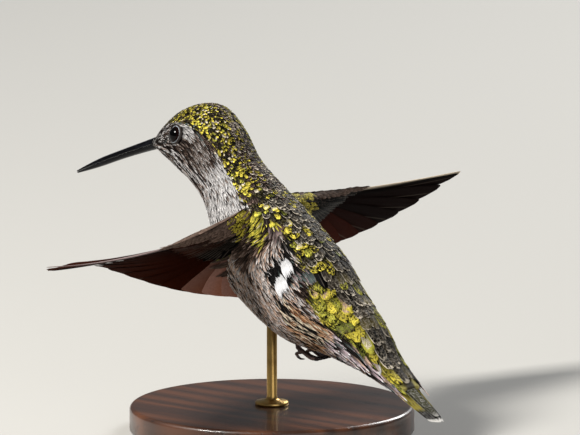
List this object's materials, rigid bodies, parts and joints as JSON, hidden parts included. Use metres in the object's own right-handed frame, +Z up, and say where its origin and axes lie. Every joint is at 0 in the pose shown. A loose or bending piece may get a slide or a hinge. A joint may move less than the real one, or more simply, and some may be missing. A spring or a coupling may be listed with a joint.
{
  "type": "female ruby-throated hummingbird on display stand",
  "caption": "Life-size still model of a hovering hummingbird with wings spread, held by a thin rod on a round flat base.",
  "frame": {"origin": "centre of the round base's underside, where the model stands", "axes": "+Z up; the bird faces -Y; its left wing points to +X"},
  "size_m": [0.1024, 0.0727, 0.0498],
  "materials": {
    "plumage_crown": "small scale-like feathers, dark olive with bright golden-green flecks, grey cheek",
    "plumage_throat": "fine silky feathers, whitish grey with thin dark streaks",
    "plumage_body": "overlapping body feathers, golden green and dark olive above, grey-brown below",
    "flight_feather": "thin dark brown vanes with darker shafts",
    "tail_feather": "narrow dark grey vanes with pale edges and white tips",
    "bill_horn": "smooth black horn, satin",
    "eye": "wet near-black brown",
    "foot_skin": "finely scaled dark skin",
    "stand_wood": "dark stained hardwood, satin lacquer",
    "stand_brass": "brushed brass"
  },
  "bodies": {
    "root": {"head": "plumage_crown", "neck": "plumage_throat", "trunk": "plumage_body", "rump": "plumage_body", "tail": "tail_feather", "eye_left": "eye", "eye_right": "eye", "bill_upper": "bill_horn", "bill_lower": "bill_horn", "wing_left_arm": "plumage_body", "wing_left_primaries": "flight_feather", "wing_left_secondaries": "flight_feather", "wing_right_arm": "plumage_body", "wing_right_primaries": "flight_feather", "wing_right_secondaries": "flight_feather", "foot_left": "foot_skin", "foot_right": "foot_skin", "stand_base": "stand_wood", "stand_rod": "stand_brass"}
  },
  "joints": []
}
